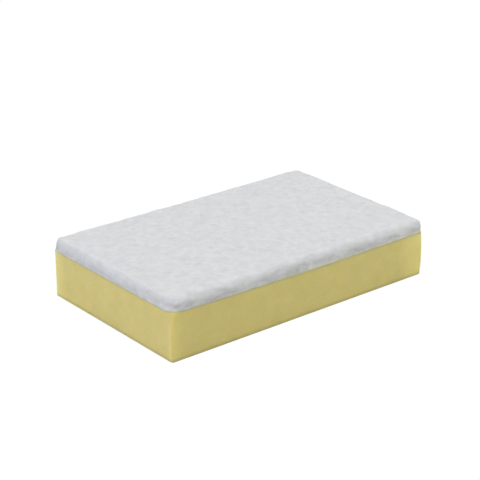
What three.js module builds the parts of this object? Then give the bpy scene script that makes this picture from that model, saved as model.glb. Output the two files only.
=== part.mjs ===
// A sponge scourer: a block of soft cellular foam with a thick pad of matted white
// fibre bonded over its whole top face. The two layers are cut out together, so the
// foam keeps crisp knife-cut faces while the springy pad rounds over along its rim.
//
// Millimetres, +Z up. The origin is the middle of the foam's bottom face, +X runs
// along the length and +Y along the width.

import * as THREE from "three";

// Overall block
const LENGTH = 150;
const WIDTH = 91;
const FOAM_HEIGHT = 22.5;
const PAD_THICKNESS = 6.4;

// Foam: radii of its upright edges, and of the edge all round its bottom
const FOAM_CORNER_RADIUS = { frontRight: 0.5, backRight: 0.8, backLeft: 1.5, frontLeft: 0.8 };
const FOAM_BOTTOM_ROUND = 0.4;

// Pad: how far its wall stands in from the foam's faces, at the bond and above it
const PAD_BOND_INSET = 0.1;
const PAD_WALL_INSET = 0.25;
const PAD_FLARE_HEIGHT = 1.5;
// The wall is upright to this height, then rolls over this far inwards to the top face
const PAD_WALL_HEIGHT = 3;
const PAD_ROLL_WIDTH = 1.1;
// Plan radii of the pad's corners, at the bond and above the flare. The matted fibre is
// pulled back furthest at the front left corner, where a little of the foam's top shows.
const PAD_BOND_RADIUS = { frontRight: 0.5, backRight: 1.5, backLeft: 1.2, frontLeft: 9 };
const PAD_WALL_RADIUS = { frontRight: 0.7, backRight: 3, backLeft: 1.8, frontLeft: 9.5 };
// The rolled rim wanders in and out where the matted fibre gives unevenly
const RIM_WAVES = [
  { length: 43, inwards: 0.3, phase: 0.15 },
  { length: 22, inwards: 0.22, phase: 0.62 },
  { length: 13, inwards: 0.13, phase: 0.37 },
];
// Of that wander inwards, how much the shoulder of the rim sinks as well
const RIM_SINK_SHARE = 0.8;

// Fineness of the mesh
const CORNER_STEPS = 6;
const FOAM_EDGE_STEPS = 3;
const PAD_ROLL_STEPS = 6;
const PAD_POINT_SPACING = 4.5;

const QUARTER = Math.PI / 2;
// The corners in the order that a ring passes them, with the side each lies on and the
// angle at which its arc begins
const CORNERS = [
  { name: "frontRight", x: 1, y: -1, start: -QUARTER },
  { name: "backRight", x: 1, y: 1, start: 0 },
  { name: "backLeft", x: -1, y: 1, start: QUARTER },
  { name: "frontLeft", x: -1, y: -1, start: 2 * QUARTER },
];

// The arc of one corner of the block in plan, drawn in by an inset
function cornerArc(corner, inset, radius) {
  const centre = new THREE.Vector2(
    corner.x * (LENGTH / 2 - inset - radius),
    corner.y * (WIDTH / 2 - inset - radius),
  );
  return Array.from({ length: CORNER_STEPS + 1 }, (_, step) => {
    const angle = corner.start + (QUARTER * step) / CORNER_STEPS;
    return new THREE.Vector2(Math.cos(angle), Math.sin(angle))
      .multiplyScalar(radius)
      .add(centre);
  });
}

// The block's outline in plan, drawn in by an inset, with a radius for each corner. It
// runs counterclockwise, each corner's arc followed by the straight side after it.
function outline(inset, radii, sideSteps) {
  const arcs = CORNERS.map((corner) => cornerArc(corner, inset, radii[corner.name]));
  return arcs.flatMap((arc, i) => {
    const from = arc[arc.length - 1];
    const to = arcs[(i + 1) % arcs.length][0];
    const steps = sideSteps[i];
    const side = Array.from({ length: steps - 1 }, (_, step) =>
      from.clone().lerp(to, (step + 1) / steps),
    );
    return [...arc, ...side];
  });
}

const ringAt = (points, z) => points.map((p) => new THREE.Vector3(p.x, p.y, z));

// A closed solid through rings of equally many points, listed from the bottom up. Its
// flat bottom and top are fans around the middle.
function loft(rings) {
  const count = rings[0].length;
  const positions = rings.flat().flatMap((p) => [p.x, p.y, p.z]);
  const faces = [];
  for (let level = 0; level < rings.length - 1; level++) {
    for (let i = 0; i < count; i++) {
      const low = level * count + i;
      const lowNext = level * count + ((i + 1) % count);
      faces.push(low, lowNext, lowNext + count);
      faces.push(low, lowNext + count, low + count);
    }
  }
  const top = (rings.length - 1) * count;
  const bottomCentre = rings.length * count;
  const topCentre = bottomCentre + 1;
  positions.push(0, 0, rings[0][0].z);
  positions.push(0, 0, rings[rings.length - 1][0].z);
  for (let i = 0; i < count; i++) {
    const next = (i + 1) % count;
    faces.push(bottomCentre, next, i);
    faces.push(topCentre, top + i, top + next);
  }
  const geometry = new THREE.BufferGeometry();
  geometry.setAttribute("position", new THREE.Float32BufferAttribute(positions, 3));
  geometry.setIndex(faces);
  geometry.computeVertexNormals();
  return geometry;
}

// The foam block: a slightly rounded bottom edge, upright cut faces, and a square top
// edge where the pad is bonded
function foamGeometry() {
  const sideSteps = CORNERS.map(() => 1);
  const rings = Array.from({ length: FOAM_EDGE_STEPS + 1 }, (_, step) => {
    const angle = (QUARTER * step) / FOAM_EDGE_STEPS;
    const inset = FOAM_BOTTOM_ROUND * (1 - Math.sin(angle));
    const z = FOAM_BOTTOM_ROUND * (1 - Math.cos(angle));
    return ringAt(outline(inset, FOAM_CORNER_RADIUS, sideSteps), z);
  });
  rings.push(ringAt(outline(0, FOAM_CORNER_RADIUS, sideSteps), FOAM_HEIGHT));
  return loft(rings);
}

// How far the rim wanders inwards at a share of the way round it, never less than 0
function rimWander(share) {
  const perimeter = 2 * (LENGTH + WIDTH);
  return RIM_WAVES.reduce((sum, wave) => {
    const cycles = Math.round(perimeter / wave.length);
    const swing = Math.cos(2 * Math.PI * (cycles * share + wave.phase));
    return sum + (wave.inwards * (1 + swing)) / 2;
  }, 0);
}

// One ring of the pad's rolled rim, at an angle from upright wall to flat top
function rollRing(angle, sideSteps) {
  const rolled = 1 - Math.cos(angle);
  const rise = Math.sin(angle);
  const wall = outline(PAD_WALL_INSET, PAD_WALL_RADIUS, sideSteps);
  const rim = outline(PAD_WALL_INSET + PAD_ROLL_WIDTH, PAD_WALL_RADIUS, sideSteps);
  return wall.map((p, i) => {
    const wander = rimWander(i / wall.length);
    const inwards = rolled * (1 + wander / PAD_ROLL_WIDTH);
    const sink = RIM_SINK_SHARE * wander * rolled * (1 - rise);
    const z = THREE.MathUtils.lerp(PAD_WALL_HEIGHT, PAD_THICKNESS, rise) - sink;
    const at = p.clone().lerp(rim[i], inwards);
    return new THREE.Vector3(at.x, at.y, z);
  });
}

// The pad: it flares a little at the bond, stands upright, and rolls over into its top
function padGeometry() {
  const along = Math.round(LENGTH / PAD_POINT_SPACING);
  const across = Math.round(WIDTH / PAD_POINT_SPACING);
  const sideSteps = [across, along, across, along];
  const rings = [
    ringAt(outline(PAD_BOND_INSET, PAD_BOND_RADIUS, sideSteps), 0),
    ringAt(outline(PAD_WALL_INSET, PAD_WALL_RADIUS, sideSteps), PAD_FLARE_HEIGHT),
  ];
  for (let step = 0; step <= PAD_ROLL_STEPS; step++) {
    rings.push(rollRing((QUARTER * step) / PAD_ROLL_STEPS, sideSteps));
  }
  return loft(rings);
}

const foamMaterial = new THREE.MeshStandardMaterial({
  color: 0xe3d58c,
  roughness: 0.95,
  metalness: 0,
});
const padMaterial = new THREE.MeshStandardMaterial({
  color: 0xe6e8ea,
  roughness: 1,
  metalness: 0,
});

const foamBlock = new THREE.Mesh(foamGeometry(), foamMaterial);
foamBlock.name = "foam_block";

const scouringPad = new THREE.Mesh(padGeometry(), padMaterial);
scouringPad.name = "scouring_pad";
scouringPad.position.z = FOAM_HEIGHT;

const scourer = new THREE.Group();
scourer.add(foamBlock, scouringPad);

export default scourer;
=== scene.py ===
import math
from functools import reduce

import bpy
import numpy as np
from mathutils import Matrix, Vector, noise
from mathutils.bvhtree import BVHTree


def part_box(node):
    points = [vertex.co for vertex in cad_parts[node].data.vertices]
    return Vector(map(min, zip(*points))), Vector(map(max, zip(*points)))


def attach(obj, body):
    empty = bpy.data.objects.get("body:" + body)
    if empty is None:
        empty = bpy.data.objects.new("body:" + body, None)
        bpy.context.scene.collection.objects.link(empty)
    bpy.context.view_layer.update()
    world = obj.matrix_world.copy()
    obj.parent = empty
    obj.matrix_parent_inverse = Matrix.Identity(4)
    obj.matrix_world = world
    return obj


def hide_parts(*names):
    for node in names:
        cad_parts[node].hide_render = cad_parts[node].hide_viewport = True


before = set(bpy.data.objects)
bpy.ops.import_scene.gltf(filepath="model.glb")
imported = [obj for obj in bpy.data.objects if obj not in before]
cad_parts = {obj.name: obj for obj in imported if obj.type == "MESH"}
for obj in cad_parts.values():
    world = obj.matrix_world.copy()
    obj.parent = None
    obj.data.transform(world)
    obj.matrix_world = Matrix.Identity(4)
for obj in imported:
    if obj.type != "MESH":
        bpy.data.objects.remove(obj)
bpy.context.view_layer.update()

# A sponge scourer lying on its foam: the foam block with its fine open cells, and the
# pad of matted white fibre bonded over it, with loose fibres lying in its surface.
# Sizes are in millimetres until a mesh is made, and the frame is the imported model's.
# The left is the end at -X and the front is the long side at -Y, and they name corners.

MM = 0.001

# How much higher or lower than its solid the block stands towards each corner
LEVELS = {"right_front": -0.25, "right_back": 0.05, "left_back": 0.65, "left_front": 0.65}
# The same for the bond alone, which also sags this far along the middle of the front
BOND_LEVELS = {"right_front": 0.0, "right_back": 0.0, "left_back": 0.0, "left_front": 0.4}
BOND_SAG = 0.75
# The right end stands out this much more than its solid
RIGHT_REACH = 0.45

# Seeds of the random waves and lumps, of which each size takes the next number, and how
# far apart in the noise two seeds are read
FOAM_WAVE_SEED = 1
RIM_WIDTH_SEED = 11
RIM_HEIGHT_SEED = 13
WALL_LUMP_SEED = 21
TOP_LUMP_SEED = 31
SEED_SHIFT = (31.7, 17.3, 11.9)

# Foam block: plan radii of its upright edges
FOAM_CORNER_RADII = {"right_front": 0.5, "right_back": 0.8, "left_back": 1.0, "left_front": 1.2}
# Towards its top it is drawn in with the pad, to these radii, over this much height
FOAM_TOP_RADII = {"right_front": 0.5, "right_back": 1.2, "left_back": 1.0, "left_front": 6.0}
FOAM_TOP_BLEND = 9.0
FOAM_BOTTOM_ROUND = 0.7
FOAM_BOTTOM_STEPS = 4
# Size and depth of the waves in its cut faces, and how far in they lie on the whole
FOAM_WAVES = ((23.0, 0.07), (7.0, 0.035))
FOAM_WAVE_INSET = 0.0525
# Half way up, its right end swells out this far, over the last part of its length
FOAM_SWELL = 0.5
FOAM_SWELL_REACH = 35.0
# Its mesh: spacing, closer places at these depths from the edges, and a last ring of the
# walls that lies this far under the bond
FOAM_SPACING = 1.0
FOAM_EDGE_BANDS = (0.0, 0.15, 0.4, 0.8, 1.5, 2.4)
FOAM_TOP_MARGIN = 0.03

# Scouring pad: how far it stands in from the foam, and its plan radii at the bond and,
# from the height of its foot up, in its wall
PAD_INSET = 0.05
PAD_BOND_RADII = {"right_front": 0.5, "right_back": 1.5, "left_back": 1.0, "left_front": 6.5}
PAD_WALL_RADII = {"right_front": 0.7, "right_back": 3.0, "left_back": 1.8, "left_front": 8.5}
PAD_FOOT_HEIGHT = 2.4
# How far the wall leans inwards at the top, which dies away this far inside the rim
PAD_LEAN = {"right_front": 0.0, "right_back": 0.4, "left_back": 0.6, "left_front": 0.3}
PAD_LEAN_FADE = 9.0
# The rim rolls over softly along the front and the left, and tightly at the far sides
RIM_FRONT_ROLL_WIDTH = 4.0
RIM_LEFT_ROLL_WIDTH = 2.8
RIM_TIGHT_ROLL_WIDTH = 1.1
RIM_LEAST_ROLL_WIDTH = 0.4
RIM_ROLL_HEIGHT = 4.1
RIM_LEAST_ROLL_HEIGHT = 1.2
RIM_LEAST_WALL_HEIGHT = 1.4
# Over this length it changes from tight to soft going forwards along the left, and from
# the width of the left to that of the front
RIM_ROLL_BLEND = 22.0
# Round the right front corner it changes from tight to soft over this length, and this
# share of the change lies on the right end
RIM_CORNER_BLEND = 8.0
RIM_CORNER_SHARE = 0.25
# The wander of the roll: size and amount, which for the width is a share of it
RIM_WIDTH_WAVES = ((14.0, 0.25), (5.0, 0.15))
RIM_HEIGHT_WAVES = ((12.0, 1.1), (5.0, 0.77))
# Lumps of the matted fibre: size across and height, and how far in they lie on the whole
PAD_TOP_LUMPS = ((26.0, 0.2), (7.0, 0.07), (3.4, 0.09), (1.7, 0.03))
PAD_WALL_LUMPS = ((11.0, 0.28), (5.0, 0.24), (2.4, 0.14), (1.4, 0.06))
PAD_LUMP_INSET = 0.1
# The lumps of the wall give way to those of the top within this depth from the rim, and
# all lumps grow from nothing at the bond over this height
PAD_RIM_BAND = 3.5
PAD_BOND_BAND = 1.2
# The mat is layered, so the lumps of its cut walls are this much longer than they are tall
PAD_LAYERING = 1.8
# Its mesh: spacing, closer places at these depths from the edges, rings of the walls, and
# the share of the wall's height at which the first ring above the bond lies
PAD_SPACING = 0.5
PAD_EDGE_BANDS = (0.0, 0.08, 0.2, 0.38, 0.6, 0.9, 1.25, 1.65, 2.1)
PAD_WALL_LEVELS = 14
PAD_FIRST_RING = 0.01

# Soft materials: colour, roughness, specular level, and how light passes into them, as
# its share, its depth in mm, and its reach in red, green and blue
FOAM_COLOUR = (0.79, 0.685, 0.265)
FOAM_FINISH = (0.85, 0.3, 1.0, 2.0, (1.0, 0.8, 0.35))
PAD_COLOUR = (0.743, 0.75, 0.763)
PAD_FINISH = (0.9, 0.2, 0.9, 0.9, (1.0, 1.0, 1.0))
FIBRE_COLOUR = (0.84, 0.85, 0.855)
FIBRE_FINISH = (0.7, 0.35, 1.0, 0.3, (1.0, 1.0, 1.0))
# How strongly the pores and the mat shade as bumps, and how deep these are
BUMP_STRENGTH = 0.35
BUMP_DEPTH = 0.12

# Foam: its pores, shaded from their middles to their walls, and its mottling
PORE_SIZE = 0.55
PORE_RANGE = (0.05, 0.55)
PORE_SHADES = (0.92, 1.02)
MOTTLE_SIZE = 9.0
MOTTLE_SHADES = (0.965, 1.035)
# Painted light from behind: how much paler it is at its right front and left back edges,
# and over what share of the way to them from its middle
FOAM_END_PAINTED_LIGHT = 1.2
FOAM_END_SHARE = 0.1
# A painted highlight at the near edge: how much paler, and how far along the front and along the
# left
FOAM_NEAR_PAINTED_HIGHLIGHT = 1.11
FOAM_NEAR_REACH = (12.0, 3.0)
# Painted shade: a faint dark line runs just above its bottom edge: its shade, and the heights
# where it sets in and where it fades out
FOAM_BOTTOM_PAINTED_SHADE = 0.84
FOAM_LINE_START = (0.05, 0.3)
FOAM_LINE_END = (1.0, 2.4)

# Pad: its matted fibres as streaks in its colour, in these directions in plan, each read
# from the noise this far from the last, and shaded from one value of it to another
STREAK_TURNS = (12.0, 58.0, 97.0, 151.0)
STREAK_SHIFT = (1.0, 2.3, 3.1)
STREAK_LENGTH = 4.8
STREAK_WIDTH = 1.5
STREAK_RANGE = (0.42, 0.72)
STREAK_SHADES = (0.966, 1.01)
# Over this size the streaks bend, by up to half this reach
BEND_SIZE = 6.0
BEND_REACH = 4.0
# Its clumps
CLUMP_SIZE = 3.4
CLUMP_SHADES = (0.94, 1.03)
# Painted shade, which also stands for the more open fibres of the cut: the cut wall is
# shadier than the top, in patches, from this height down to this
WALL_PAINTED_SHADE_HEIGHTS = (27.4, 24.4)
WALL_PAINTED_SHADES = (0.88, 1.04)
PATCH_SIZE = 6.0
# Where most values of the noise of the patches lie, and nearly all those of the others
PATCH_RANGE = (0.35, 0.65)
NOISE_RANGE = (0.3, 0.7)
# Next to the bond its fibres are tinged with the foam's colour, up to these heights
BOND_TINGE_HEIGHTS = (22.6, 24.4)
BOND_TINGE = (1.04, 1.02, 0.85)

# Loose fibres: each is a thin tube of steps over the pad, and dives into it at its ends
FIBRE_SEED = 5
FIBRE_RADIUS = 0.014
FIBRE_SIDES = 3
FIBRE_END_SHARE = 0.5
FIBRE_POINTS = 12
FIBRE_STEP = 0.95
FIBRE_DIVE = 0.12
# How much it curls as a whole and at each step, in radians
FIBRE_CURL = 0.22
FIBRE_WANDER = 0.12
# How high its middle rises above its ends, on the top and on the rim
TOP_FIBRE_RISE = (0.135, 0.145)
RIM_FIBRE_RISE = (0.12, 0.4)
TOP_FIBRES_PER_PIECE = 1500
TOP_FIBRE_PIECES = 2
RIM_FIBRES = 750
# The upward part of the normal of faces that carry fibres of the top, and of the rim
TOP_LEAST_SLOPE = 0.3
RIM_SLOPES = (-0.5, 0.8)

# The view of the photograph: where the camera stands, and what it points at
CAMERA_AZIMUTH = -39.2
CAMERA_ELEVATION = 22.78
CAMERA_DISTANCE = 757.4
CAMERA_SLIDE_RIGHT = -0.17
CAMERA_SLIDE_UP = 21.5
CAMERA_LENS = 118.57
SENSOR_WIDTH = 36.0
# The nearest and furthest that it sees, in metres
CAMERA_CLIP = (0.01, 100.0)

# Half the width of the floor, and the height of the backdrop
STAGE_REACH = 5000.0
# Heights of the white floor that is seen, the one that light meets, and the backdrop
SEEN_HEIGHT = -0.02
BOUNCE_HEIGHT = -0.04
BACKDROP_HEIGHT = -0.1
WHITE_GLOW = 1.02
BOUNCE_COLOUR = (0.45, 0.45, 0.45)
BOUNCE_ROUGHNESS = 0.9

# Light: an even tent, and wide soft lamps round the object, with their azimuth,
# elevation, power and colour. Lengths here are in metres.
WORLD_STRENGTH = 0.186
LAMP_DISTANCE = 1.6
LAMP_SIZE = 1.2
LAMP_AIM = (0, 0, 0.02)
LAMPS = (
    ("above", 0, 90, 3.5, (1, 1, 1)),
    ("behind", 141, 45, 3.8, (1, 1, 1)),
    ("left_high", -110, 55, 3.1, (1, 1, 1.06)),
    ("left_low", -100, 25, 11.3, (1, 1, 1.06)),
    ("right_high", 35, 50, 7.8, (1, 1, 0.96)),
    ("right_low", 30, 20, 6.1, (1, 1, 0.96)),
)


# Mesh helpers

def new_object(name, points_mm, faces, shader):
    mesh = bpy.data.meshes.new(name)
    mesh.from_pydata((np.asarray(points_mm) * MM).tolist(), [], faces)
    mesh.update()
    mesh.polygons.foreach_set("use_smooth", [True] * len(mesh.polygons))
    mesh.materials.append(shader)
    made = bpy.data.objects.new(name, mesh)
    bpy.context.scene.collection.objects.link(made)
    return made


def half_sides(node):
    """Half the length and width of a solid's box, in mm."""
    _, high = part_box(node)
    return np.array((high.x, high.y)) / MM


def smooth_step(values):
    part = np.clip(values, 0, 1)
    return part * part * (3 - 2 * part)


def ripple(points, size, seed):
    """Smooth random heights from about -1 to 1, at points in mm, in lumps of a size."""
    shift = Vector(SEED_SHIFT) * seed
    return np.array([noise.noise(Vector(p) / size + shift) for p in points])


def lumps(points, sizes, seed):
    """Ripples of several sizes and heights, added up."""
    return sum(height * ripple(points, size, seed + k) for k, (size, height) in enumerate(sizes))


def coordinates(half, bands, spacing):
    """Places from -half to half: close together near both ends, and even between them."""
    inner = half - bands[-1]
    steps = int(round(2 * inner / spacing))
    middle = np.linspace(-inner, inner, steps + 1)
    edge = half - np.array(bands[:-1])
    return np.concatenate([-edge, middle, edge[::-1]])


def corner_radius(x, y, radii):
    """The radius of the corner in whose quarter of the plan each point lies."""
    right = np.where(y < 0, radii["right_front"], radii["right_back"])
    left = np.where(y < 0, radii["left_front"], radii["left_back"])
    return np.where(x > 0, right, left)


def rounded_plan(x, y, half, radii):
    """Moves points of a rectangle's plan so that its corners are round."""
    radius = corner_radius(x, y, radii)
    across = np.clip((np.abs(x) - half[0] + radius) / radius, 0, 1)
    along = np.clip((np.abs(y) - half[1] + radius) / radius, 0, 1)
    moved_x = across * np.sqrt(1 - along * along / 2)
    moved_y = along * np.sqrt(1 - across * across / 2)
    new_x = x - np.sign(x) * (across - moved_x) * radius
    new_y = y - np.sign(y) * (along - moved_y) * radius
    return new_x, new_y


def depth_inside(x, y, half, radii):
    """How far in from the rounded outline each point of the plan is."""
    radius = corner_radius(x, y, radii)
    qx = np.abs(x) - half[0] + radius
    qy = np.abs(y) - half[1] + radius
    outside = np.hypot(np.maximum(qx, 0), np.maximum(qy, 0))
    return radius - outside - np.minimum(np.maximum(qx, qy), 0)


def between_corners(x, y, half, values):
    """A value at each point of the plan, blended from one value for each corner."""
    u = np.clip(x / half[0] / 2 + 0.5, 0, 1)
    v = np.clip(y / half[1] / 2 + 0.5, 0, 1)
    front = values["left_front"] + (values["right_front"] - values["left_front"]) * u
    back = values["left_back"] + (values["right_back"] - values["left_back"]) * u
    return front + (back - front) * v


def level(points, half):
    """How much higher or lower than its solid the block stands at each point of the plan."""
    return between_corners(points[:, 0], points[:, 1], half, LEVELS)


def bond_bend(points, half):
    """How far the bond bends up or down from its level at each point of the plan."""
    x, y = points[:, 0], points[:, 1]
    sag = BOND_SAG * np.cos(np.clip(x / half[0], -1, 1) * math.pi / 2)
    near_front = np.clip(0.5 - y / half[1] / 2, 0, 1)
    return between_corners(x, y, half, BOND_LEVELS) - sag * near_front


def reach_right(points, half):
    """Draws out the right end."""
    points[:, 0] += RIGHT_REACH * smooth_step(points[:, 0] / half[0])


def ring_normals(ring):
    """Outward directions in plan at the points of a counterclockwise ring."""
    ahead = np.roll(ring, -1, axis=0)[:, :2] - np.roll(ring, 1, axis=0)[:, :2]
    ahead /= np.linalg.norm(ahead, axis=1)[:, None]
    return np.stack([ahead[:, 1], -ahead[:, 0]], axis=-1)


def vertex_normals(points, quads):
    """Outward directions at the points of a mesh of quads."""
    corners = [points[quads[:, k]] for k in range(4)]
    facing = np.cross(corners[2] - corners[0], corners[3] - corners[1])
    summed = np.zeros_like(points)
    for k in range(4):
        np.add.at(summed, quads[:, k], facing)
    return summed / np.maximum(np.linalg.norm(summed, axis=1), 1e-9)[:, None]


class Block:
    """A closed block of quads, whose top and bottom are grids that share the rings of its
    walls. Rings run counterclockwise, seen from above."""

    def __init__(self, half, bands, spacing, levels):
        self.levels = levels
        self.xs = coordinates(half[0], bands, spacing)
        self.ys = coordinates(half[1], bands, spacing)
        across, along = len(self.xs), len(self.ys)
        self.ring = (
            [(i, 0) for i in range(across - 1)]
            + [(across - 1, j) for j in range(along - 1)]
            + [(i, along - 1) for i in range(across - 1, 0, -1)]
            + [(0, j) for j in range(along - 1, 0, -1)]
        )
        self.ring_x = np.array([self.xs[i] for i, _ in self.ring])
        self.ring_y = np.array([self.ys[j] for _, j in self.ring])
        grid_x, grid_y = np.meshgrid(self.xs[1:-1], self.ys[1:-1], indexing="ij")
        self.inner_x, self.inner_y = grid_x.ravel(), grid_y.ravel()

    def grid_faces(self, ring_start, inner_start):
        across, along = len(self.xs), len(self.ys)
        ids = np.empty((across, along), int)
        inner = np.arange(len(self.inner_x)).reshape(across - 2, along - 2)
        ids[1:-1, 1:-1] = inner_start + inner
        ids[tuple(np.array(self.ring).T)] = ring_start + np.arange(len(self.ring))
        return np.stack(
            [ids[:-1, :-1], ids[1:, :-1], ids[1:, 1:], ids[:-1, 1:]], axis=-1
        ).reshape(-1, 4)

    def faces(self, with_bottom_grid):
        """Faces over points listed as rings from the bottom up, the top's inner points,
        and then the bottom's inner points or its middle."""
        count = len(self.ring)
        at = np.arange(count)
        after = (at + 1) % count
        walls = np.concatenate([
            np.stack([low + at, low + after, low + count + after, low + count + at], axis=-1)
            for low in range(0, (self.levels - 1) * count, count)
        ])
        inner_start = self.levels * count
        top = self.grid_faces((self.levels - 1) * count, inner_start)
        bottom_start = inner_start + len(self.inner_x)
        if with_bottom_grid:
            bottom = self.grid_faces(0, bottom_start)[:, ::-1].tolist()
        else:
            bottom = [(bottom_start, b, a) for a, b in zip(at.tolist(), after.tolist())]
        return walls.tolist() + top.tolist() + bottom


# Material helpers

def material(name, colour, roughness):
    made = bpy.data.materials.new(name)
    made.use_nodes = True
    shader = made.node_tree.nodes["Principled BSDF"]
    shader.inputs["Base Color"].default_value = (*colour, 1)
    shader.inputs["Roughness"].default_value = roughness
    return made, made.node_tree, shader


def soft_material(name, colour, finish):
    roughness, specular, share, depth, reach = finish
    made, tree, shader = material(name, colour, roughness)
    shader.inputs["Specular IOR Level"].default_value = specular
    shader.inputs["Subsurface Weight"].default_value = share
    shader.inputs["Subsurface Scale"].default_value = depth * MM
    shader.inputs["Subsurface Radius"].default_value = reach
    return made, tree, shader


def add_node(tree, kind, inputs=None, **settings):
    made = tree.nodes.new(kind)
    for key, value in settings.items():
        setattr(made, key, value)
    for key, value in (inputs or {}).items():
        if isinstance(value, bpy.types.NodeSocket):
            tree.links.new(value, made.inputs[key])
        else:
            made.inputs[key].default_value = value
    return made


def object_place(tree):
    return add_node(tree, "ShaderNodeTexCoord").outputs["Object"]


def math_node(tree, operation, first, second=0.0):
    return add_node(
        tree, "ShaderNodeMath", {0: first, 1: second}, operation=operation
    ).outputs["Value"]


def vector_node(tree, operation, inputs, output="Vector"):
    return add_node(tree, "ShaderNodeVectorMath", inputs, operation=operation).outputs[output]


def product(tree, *values):
    return reduce(lambda first, second: math_node(tree, "MULTIPLY", first, second), values)


def ranged(tree, value, before, after):
    """A value carried over from one range to another, and kept within it."""
    return add_node(
        tree,
        "ShaderNodeMapRange",
        {
            "Value": value,
            "From Min": before[0],
            "From Max": before[1],
            "To Min": after[0],
            "To Max": after[1],
        },
    ).outputs["Result"]


def ranged_mm(tree, place, before, after):
    """The same for a place, whose range is in mm."""
    return ranged(tree, place, [end * MM for end in before], after)


def add_noise(tree, place, size, **inputs):
    return add_node(
        tree, "ShaderNodeTexNoise", {"Vector": place, "Scale": 1 / (size * MM), **inputs}
    ).outputs


def add_bump(tree, shader, height):
    bump = add_node(
        tree,
        "ShaderNodeBump",
        {"Height": height, "Strength": BUMP_STRENGTH, "Distance": BUMP_DEPTH * MM},
    )
    tree.links.new(bump.outputs["Normal"], shader.inputs["Normal"])


# Foam block

def end_painted_light(tree, place, half):
    """Painted light from behind: paler towards the right front and left back edges."""
    across = vector_node(
        tree,
        "DOT_PRODUCT",
        {0: place, 1: (0.5 / (half[0] * MM), -0.5 / (half[1] * MM), 0.0)},
        "Value",
    )
    far = math_node(tree, "ABSOLUTE", across)
    return ranged(tree, far, (1 - FOAM_END_SHARE, 1.0), (1.0, FOAM_END_PAINTED_LIGHT))


def near_painted_highlight(tree, parts, half):
    """A painted highlight: paler at the near edge, which is the left front one."""
    near = [
        ranged_mm(tree, parts[axis], (-side, reach - side), (1.0, 0.0))
        for axis, side, reach in zip("XY", half, FOAM_NEAR_REACH)
    ]
    return ranged(tree, product(tree, *near), (0.0, 1.0), (1.0, FOAM_NEAR_PAINTED_HIGHLIGHT))


def bottom_painted_shade(tree, height):
    """Painted shade: the faint dark line above the bottom edge."""
    below = ranged_mm(tree, height, FOAM_LINE_START, (1.0, FOAM_BOTTOM_PAINTED_SHADE))
    above = ranged_mm(tree, height, FOAM_LINE_END, (FOAM_BOTTOM_PAINTED_SHADE, 1.0))
    return math_node(tree, "MAXIMUM", below, above)


def foam_material():
    made, tree, shader = soft_material("foam", FOAM_COLOUR, FOAM_FINISH)
    half = half_sides("foam_block")
    place = object_place(tree)
    parts = add_node(tree, "ShaderNodeSeparateXYZ", {"Vector": place}).outputs
    cells = add_node(
        tree, "ShaderNodeTexVoronoi", {"Vector": place, "Scale": 1 / (PORE_SIZE * MM)}
    ).outputs["Distance"]
    pores = ranged(tree, cells, PORE_RANGE, (0.0, 1.0))
    mottle = add_noise(tree, place, MOTTLE_SIZE, Detail=4.0)["Fac"]
    # The shade multiplies painted light at the far ends, a painted highlight at the near edge
    # and painted shade above the bottom with the pores and mottling
    shade = product(
        tree,
        end_painted_light(tree, place, half),
        near_painted_highlight(tree, parts, half),
        bottom_painted_shade(tree, parts["Z"]),
        ranged(tree, pores, (0.0, 1.0), PORE_SHADES),
        ranged(tree, mottle, NOISE_RANGE, MOTTLE_SHADES),
    )
    colour = vector_node(tree, "SCALE", {0: FOAM_COLOUR, "Scale": shade})
    tree.links.new(colour, shader.inputs["Base Color"])
    add_bump(tree, shader, pores)
    return made


def foam_profile(height):
    """The wall's rings from the bottom up, as their inset and height."""
    angles = np.linspace(0, math.pi / 2, FOAM_BOTTOM_STEPS + 1)
    rounds = [
        (FOAM_BOTTOM_ROUND * (1 - math.sin(a)), FOAM_BOTTOM_ROUND * (1 - math.cos(a)))
        for a in angles
    ]
    steps = int(round((height - FOAM_BOTTOM_ROUND) / FOAM_SPACING))
    heights = np.linspace(FOAM_BOTTOM_ROUND, height, steps + 1)[1:]
    return rounds + [(0.0, z) for z in (*heights[:-1], height - FOAM_TOP_MARGIN, height)]


def foam_ring(block, half, inset, z, height):
    """A ring of the wall, drawn in towards the top as the pad is."""
    inner = half - inset
    x, y = block.ring_x * inner[0] / half[0], block.ring_y * inner[1] / half[1]
    cut = np.stack(rounded_plan(x, y, inner, FOAM_CORNER_RADII))
    drawn = np.stack(rounded_plan(x, y, inner, FOAM_TOP_RADII))
    share = max(0.0, 1 - (height - z) / FOAM_TOP_BLEND) ** 2
    x, y = cut + (drawn - cut) * share
    return np.stack([x, y, np.full_like(x, z)], axis=-1)


def make_foam(shader):
    _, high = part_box("foam_block")
    height = high.z / MM
    half = half_sides("foam_block")
    profile = foam_profile(height)
    block = Block(half, FOAM_EDGE_BANDS, FOAM_SPACING, len(profile))
    rings = [foam_ring(block, half, inset, z, height) for inset, z in profile]
    walls = np.concatenate(rings)
    x, y = rounded_plan(block.inner_x, block.inner_y, half, FOAM_TOP_RADII)
    top = np.stack([x, y, np.full_like(x, height)], axis=-1)
    inner = half - FOAM_BOTTOM_ROUND
    x, y = block.inner_x * inner[0] / half[0], block.inner_y * inner[1] / half[1]
    x, y = rounded_plan(x, y, inner, FOAM_CORNER_RADII)
    bottom = np.stack([x, y, np.zeros_like(x)], axis=-1)
    wave = lumps(walls, FOAM_WAVES, FOAM_WAVE_SEED) - FOAM_WAVE_INSET
    swell = FOAM_SWELL * smooth_step((walls[:, 0] - half[0]) / FOAM_SWELL_REACH + 1)
    wave += swell * np.sin(math.pi * walls[:, 2] / height)
    walls[:, :2] += np.concatenate([ring_normals(ring) for ring in rings]) * wave[:, None]
    points = np.concatenate([walls, top, bottom])
    points[:, 2] *= 1 + (level(points, half) + bond_bend(points, half)) / height
    reach_right(points, half)
    foam = new_object("foam_body", points, block.faces(True), shader)
    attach(foam, "root")
    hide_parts("foam_block")


# Scouring pad

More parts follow.
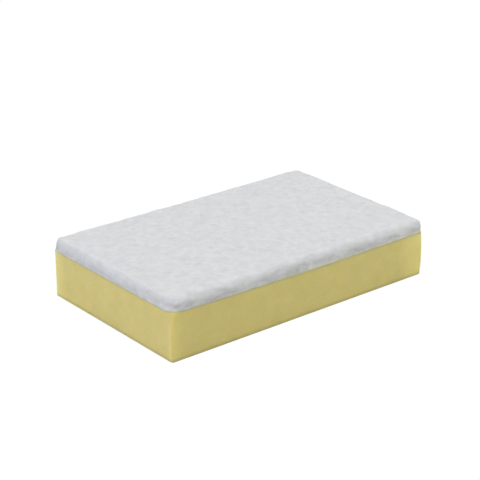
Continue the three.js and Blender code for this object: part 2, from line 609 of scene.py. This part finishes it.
def streaks(tree, place, turn, seed):
    """Noise drawn out along one direction of the plan, as fibres that lie side by side."""
    narrow = 1 / (STREAK_WIDTH * MM)
    laid = add_node(
        tree,
        "ShaderNodeMapping",
        {
            "Vector": place,
            "Location": tuple(part * seed for part in STREAK_SHIFT),
            "Rotation": (0, 0, math.radians(turn)),
            "Scale": (1 / (STREAK_LENGTH * MM), narrow, narrow),
        },
    ).outputs["Vector"]
    return add_node(
        tree,
        "ShaderNodeTexNoise",
        {"Vector": laid, "Scale": 1.0, "Detail": 1.0, "Roughness": 0.5},
    ).outputs["Fac"]


def matted_streaks(tree, place):
    """Streaks in all their directions, over each other, read at places pushed about so
    that they bend."""
    bend = add_noise(tree, place, BEND_SIZE, Detail=1.0)["Color"]
    centred = vector_node(tree, "SUBTRACT", {0: bend, 1: (0.5, 0.5, 0.5)})
    push = vector_node(tree, "SCALE", {0: centred, "Scale": BEND_REACH * MM})
    pushed = vector_node(tree, "ADD", {0: place, 1: push})
    layers = [
        streaks(tree, pushed, turn, 1.0 + index) for index, turn in enumerate(STREAK_TURNS)
    ]
    return reduce(lambda under, over: math_node(tree, "MAXIMUM", under, over), layers)


def wall_painted_shade(tree, place, height):
    """Painted shade, also for the more open cut fibres: shadier in patches on the wall, and 1 on
    the top.
    """
    low = ranged_mm(tree, height, WALL_PAINTED_SHADE_HEIGHTS, (0.0, 1.0))
    layered = add_node(
        tree, "ShaderNodeMapping", {"Vector": place, "Scale": (1, 1, PAD_LAYERING)}
    ).outputs["Vector"]
    patches = add_noise(tree, layered, PATCH_SIZE, Detail=2.0)["Fac"]
    patch = ranged(tree, patches, PATCH_RANGE, WALL_PAINTED_SHADES)
    return add_node(
        tree, "ShaderNodeMix", {"Factor": low, "A": 1.0, "B": patch}, data_type="FLOAT"
    ).outputs["Result"]


def tinged(tree, colour, height):
    """The colour, tinged next to the bond. A Mix node's colours are sockets 6, 7 and 2."""
    near_bond = ranged_mm(tree, height, BOND_TINGE_HEIGHTS, (1.0, 0.0))
    return add_node(
        tree,
        "ShaderNodeMix",
        {0: near_bond, 6: colour, 7: (*BOND_TINGE, 1.0)},
        data_type="RGBA",
        blend_type="MULTIPLY",
    ).outputs[2]


def pad_material():
    made, tree, shader = soft_material("pad", PAD_COLOUR, PAD_FINISH)
    place = object_place(tree)
    height = add_node(tree, "ShaderNodeSeparateXYZ", {"Vector": place}).outputs["Z"]
    mat = matted_streaks(tree, place)
    clumps = add_noise(
        tree, place, CLUMP_SIZE, Detail=2.0, Roughness=0.5, Distortion=0.4
    )["Fac"]
    # The shade multiplies painted shade on the wall with the streaks and clumps of the mat
    shade = product(
        tree,
        wall_painted_shade(tree, place, height),
        ranged(tree, mat, STREAK_RANGE, STREAK_SHADES),
        ranged(tree, clumps, NOISE_RANGE, CLUMP_SHADES),
    )
    colour = vector_node(tree, "SCALE", {0: PAD_COLOUR, "Scale": shade})
    tree.links.new(tinged(tree, colour, height), shader.inputs["Base Color"])
    add_bump(tree, shader, math_node(tree, "ADD", mat, clumps))
    return made


def roll_width(points, half):
    """How wide the rim's roll is near each point of the plan."""
    x, y = points[:, 0], points[:, 1]
    near_side = np.minimum(half[0] + x, half[1] + y)
    soft = smooth_step((half[0] - x - near_side) / RIM_CORNER_BLEND + RIM_CORNER_SHARE)
    soft *= smooth_step((half[1] - y - near_side) / RIM_ROLL_BLEND)
    left = smooth_step(0.5 + ((half[1] + y) - (half[0] + x)) / RIM_ROLL_BLEND)
    near_width = RIM_FRONT_ROLL_WIDTH + (RIM_LEFT_ROLL_WIDTH - RIM_FRONT_ROLL_WIDTH) * left
    width = RIM_TIGHT_ROLL_WIDTH + (near_width - RIM_TIGHT_ROLL_WIDTH) * soft
    width = width * (1 + lumps(points, RIM_WIDTH_WAVES, RIM_WIDTH_SEED))
    return np.maximum(width, RIM_LEAST_ROLL_WIDTH)


def roll_height(points, thickness):
    """How high the rim's roll is near each point of the plan."""
    height = RIM_ROLL_HEIGHT + lumps(points, RIM_HEIGHT_WAVES, RIM_HEIGHT_SEED)
    return np.clip(height, RIM_LEAST_ROLL_HEIGHT, thickness - RIM_LEAST_WALL_HEIGHT)


def pad_walls(block, half, wall_half, thickness):
    """The wall's points from the bond up to the rim's roll."""
    scale = wall_half / half
    x, y = block.ring_x * scale[0], block.ring_y * scale[1]
    plan = np.stack(rounded_plan(x, y, wall_half, PAD_WALL_RADII), axis=-1)
    foot = np.stack(rounded_plan(x, y, wall_half, PAD_BOND_RADII), axis=-1)
    outward = ring_normals(plan)
    flat_ring = np.column_stack([plan, np.zeros(len(plan))])
    lean = between_corners(plan[:, 0], plan[:, 1], half, PAD_LEAN) / thickness
    wall_height = thickness - roll_height(flat_ring, thickness)
    shares = np.linspace(0, 1, PAD_WALL_LEVELS - 1)[1:]
    rings = []
    for share in (0.0, PAD_FIRST_RING, *shares):
        z = wall_height * share
        spread = smooth_step(z / PAD_FOOT_HEIGHT)[:, None]
        at = foot + (plan - foot) * spread - outward * (lean * z)[:, None]
        rings.append(np.column_stack([at, z]))
    return np.concatenate(rings)


def pad_shape(block, half, thickness):
    """The smooth pad, standing on height 0, and how far each point is from its rim."""
    wall_half = half - PAD_INSET
    walls = pad_walls(block, half, wall_half, thickness)
    scale = wall_half / half
    x, y = block.inner_x * scale[0], block.inner_y * scale[1]
    x, y = rounded_plan(x, y, wall_half, PAD_WALL_RADII)
    flat = np.column_stack([x, y, np.zeros_like(x)])
    depth = depth_inside(x, y, wall_half, PAD_WALL_RADII)
    out = np.clip(1 - depth / roll_width(flat, half), 0, 1)
    z = thickness - roll_height(flat, thickness) * (1 - np.sqrt(1 - out * out))
    # The lean of the wall carries on over the rim and dies away inside it
    fade = np.clip(1 - depth / PAD_LEAN_FADE, 0, 1)
    drawn_in = between_corners(x, y, half, PAD_LEAN) * z / thickness * fade
    reach = np.maximum(np.hypot(x, y), 1e-6)
    top = np.column_stack([x - x / reach * drawn_in, y - y / reach * drawn_in, z])
    return np.concatenate([walls, top]), np.concatenate([np.zeros(len(walls)), depth])


def matted(points, faces, rim):
    """The pad's points pushed in and out by the lumps of its top and of its walls, but not
    where it meets the foam."""
    normals = vertex_normals(points, np.array([face for face in faces if len(face) == 4]))
    side = np.clip(1 - rim / PAD_RIM_BAND, 0, 1)
    relief = (lumps(points, PAD_TOP_LUMPS, TOP_LUMP_SEED) - PAD_LUMP_INSET) * (1 - side)
    layered = points * (1, 1, PAD_LAYERING)
    relief += (lumps(layered, PAD_WALL_LUMPS, WALL_LUMP_SEED) - PAD_LUMP_INSET) * side
    return points + normals * (relief * np.clip(points[:, 2] / PAD_BOND_BAND, 0, 1))[:, None]


def make_pad(shader):
    low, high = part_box("scouring_pad")
    thickness = (high.z - low.z) / MM
    half = half_sides("foam_block")
    block = Block(half, PAD_EDGE_BANDS, PAD_SPACING, PAD_WALL_LEVELS)
    faces = block.faces(False)
    points, rim = pad_shape(block, half, thickness)
    points = np.concatenate([matted(points, faces, rim), [[0.0, 0.0, 0.0]]])
    above_bond = np.clip(points[:, 2] / thickness, 0, 1)
    points[:, 2] += low.z / MM + level(points, half) + bond_bend(points, half) * (1 - above_bond)
    reach_right(points, half)
    pad = new_object("pad_body", points, faces, shader)
    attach(pad, "root")
    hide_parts("scouring_pad")
    return points, faces


# Loose fibres

def fibre_material():
    return soft_material("fibre", FIBRE_COLOUR, FIBRE_FINISH)[0]


def walk_fibre(surface, rng, start, normal, lift):
    """A fibre that wanders over the surface, and dives into it at its ends."""
    tangent = Vector(rng.normal(size=3))
    tangent = (tangent - tangent.dot(normal) * normal).normalized()
    turn = rng.normal(0, FIBRE_CURL)
    points, normals = [], []
    at, up = start, normal
    for step in range(FIBRE_POINTS):
        share = step / (FIBRE_POINTS - 1)
        rise = lift * math.sin(math.pi * share) - FIBRE_DIVE
        points.append(at + up * rise)
        normals.append(up)
        tangent = (tangent - tangent.dot(up) * up).normalized()
        tangent = Matrix.Rotation(turn + rng.normal(0, FIBRE_WANDER), 3, up) @ tangent
        at, up, _, _ = surface.find_nearest(at + tangent * FIBRE_STEP)
    return points, normals


def tube_points(line, ups):
    """The corners of a thin tube's sections along a line, thinner at its ends."""
    last = len(line) - 1
    points = []
    for k, (middle, up) in enumerate(zip(line, ups)):
        ahead = line[min(k + 1, last)] - line[max(k - 1, 0)]
        side = ahead.cross(up).normalized()
        above = side.cross(ahead).normalized()
        radius = FIBRE_RADIUS * (FIBRE_END_SHARE if k in (0, last) else 1.0)
        for corner in range(FIBRE_SIDES):
            angle = 2 * math.pi * corner / FIBRE_SIDES + math.pi / 2
            points.append(
                middle + side * (math.cos(angle) * radius) + above * (math.sin(angle) * radius)
            )
    return points


def tube_faces(base, sections):
    """Faces of a closed tube whose points start at a base."""
    faces = []
    for k in range(sections - 1):
        for corner in range(FIBRE_SIDES):
            a = base + FIBRE_SIDES * k + corner
            b = base + FIBRE_SIDES * k + (corner + 1) % FIBRE_SIDES
            faces.append((a, b, b + FIBRE_SIDES, a + FIBRE_SIDES))
    end = base + FIBRE_SIDES * (sections - 1)
    faces.append(tuple(base + corner for corner in reversed(range(FIBRE_SIDES))))
    faces.append(tuple(end + corner for corner in range(FIBRE_SIDES)))
    return faces


def make_fibres(name, shader, surface, rng, starts, lift_range):
    points, faces = [], []
    for start, normal in starts:
        lift = rng.uniform(*lift_range)
        line, ups = walk_fibre(surface, rng, start, normal, lift)
        faces += tube_faces(len(points), len(line))
        points += tube_points(line, ups)
    made = new_object(name, [tuple(point) for point in points], faces, shader)
    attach(made, "root")


def scatter(points, faces, rng, count, chosen_slopes):
    """Random places on the surface, by area, where the upward part of the face's normal is
    between two values."""
    quads = np.array([face for face in faces if len(face) == 4])
    a, b, c, d = (points[quads[:, k]] for k in range(4))
    normal = np.cross(c - a, d - b) / 2
    area = np.linalg.norm(normal, axis=1)
    slope = normal[:, 2] / np.maximum(area, 1e-12)
    share = area * (slope > chosen_slopes[0]) * (slope < chosen_slopes[1])
    middle = (a + b + c + d) / 4
    chosen = rng.choice(len(quads), size=count, p=share / share.sum())
    return [(Vector(middle[k]), Vector(normal[k]).normalized()) for k in chosen]


def make_all_fibres(points, faces):
    surface = BVHTree.FromPolygons(points.tolist(), faces)
    shader = fibre_material()
    rng = np.random.default_rng(FIBRE_SEED)
    for index in range(TOP_FIBRE_PIECES):
        starts = scatter(points, faces, rng, TOP_FIBRES_PER_PIECE, (TOP_LEAST_SLOPE, math.inf))
        make_fibres(f"pad_fibres_top_{index + 1}", shader, surface, rng, starts, TOP_FIBRE_RISE)
    starts = scatter(points, faces, rng, RIM_FIBRES, RIM_SLOPES)
    make_fibres("pad_fibres_rim", shader, surface, rng, starts, RIM_FIBRE_RISE)


# Stage, light and camera

def glow(name, strength):
    made = bpy.data.materials.new(name)
    made.use_nodes = True
    tree = made.node_tree
    tree.nodes.clear()
    out = tree.nodes.new("ShaderNodeOutputMaterial")
    light = add_node(tree, "ShaderNodeEmission", {"Color": (1, 1, 1, 1), "Strength": strength})
    tree.links.new(light.outputs["Emission"], out.inputs["Surface"])
    made.cycles.emission_sampling = "NONE"
    return made


def only_camera_sees(stage_part):
    for ray in ("diffuse", "glossy", "transmission", "volume_scatter", "shadow"):
        setattr(stage_part, "visible_" + ray, False)


def stage_corners(height):
    turns = ((-1, -1), (1, -1), (1, 1), (-1, 1))
    return [(STAGE_REACH * x, STAGE_REACH * y, height) for x, y in turns]


def make_stage():
    # The floor and the backdrop that the camera sees are white, as in the photograph
    white = glow("white", WHITE_GLOW)
    seen = new_object("floor_seen", stage_corners(SEEN_HEIGHT), [(0, 1, 2, 3)], white)
    only_camera_sees(seen)
    box = stage_corners(BACKDROP_HEIGHT) + stage_corners(2 * STAGE_REACH)
    sides = [(k, (k + 1) % 4, 4 + (k + 1) % 4, 4 + k) for k in range(4)]
    backdrop = new_object("backdrop", box, [*sides, (4, 5, 6, 7)], white)
    only_camera_sees(backdrop)
    # What the object is lit by is a plain floor
    pale, _, _ = material("pale_floor", BOUNCE_COLOUR, BOUNCE_ROUGHNESS)
    bounce = new_object("floor_bounce", stage_corners(BOUNCE_HEIGHT), [(0, 1, 2, 3)], pale)
    bounce.visible_camera = False


def lamp_place(azimuth, elevation):
    """A place around the object: azimuth 0 is in front, and 90 is past its right end."""
    turn, rise = math.radians(azimuth), math.radians(elevation)
    flat = LAMP_DISTANCE * math.cos(rise)
    return flat * math.sin(turn), -flat * math.cos(turn), LAMP_DISTANCE * math.sin(rise)


def make_lamp(name, azimuth, elevation, power, colour):
    light = bpy.data.lights.new(name, "AREA")
    light.shape = "DISK"
    light.size = LAMP_SIZE
    light.energy = power
    light.color = colour
    lamp = bpy.data.objects.new(name, light)
    lamp.location = lamp_place(azimuth, elevation)
    aim = Vector(LAMP_AIM) - Vector(lamp.location)
    lamp.rotation_euler = aim.to_track_quat("-Z", "Y").to_euler()
    bpy.context.scene.collection.objects.link(lamp)


def make_light():
    world = bpy.data.worlds.new("tent")
    world.use_nodes = True
    background = world.node_tree.nodes["Background"]
    background.inputs["Color"].default_value = (1, 1, 1, 1)
    background.inputs["Strength"].default_value = WORLD_STRENGTH
    bpy.context.scene.world = world
    for lamp in LAMPS:
        make_lamp(*lamp)


def make_camera():
    azimuth, elevation = math.radians(CAMERA_AZIMUTH), math.radians(CAMERA_ELEVATION)
    back = Vector((
        math.sin(azimuth) * math.cos(elevation),
        -math.cos(azimuth) * math.cos(elevation),
        math.sin(elevation),
    ))
    right = Vector((math.cos(azimuth), math.sin(azimuth), 0))
    above = back.cross(right)
    data = bpy.data.cameras.new("camera")
    data.lens = CAMERA_LENS
    data.sensor_width = SENSOR_WIDTH
    data.clip_start, data.clip_end = CAMERA_CLIP
    camera = bpy.data.objects.new("camera", data)
    place = back * CAMERA_DISTANCE + right * CAMERA_SLIDE_RIGHT + above * CAMERA_SLIDE_UP
    turned = Matrix((right, above, back)).transposed()
    camera.matrix_world = Matrix.Translation(place * MM) @ turned.to_4x4()
    bpy.context.scene.collection.objects.link(camera)
    bpy.context.scene.camera = camera


make_camera()
make_stage()
make_light()
bpy.context.scene.view_settings.view_transform = "Standard"

make_foam(foam_material())
make_all_fibres(*make_pad(pad_material()))
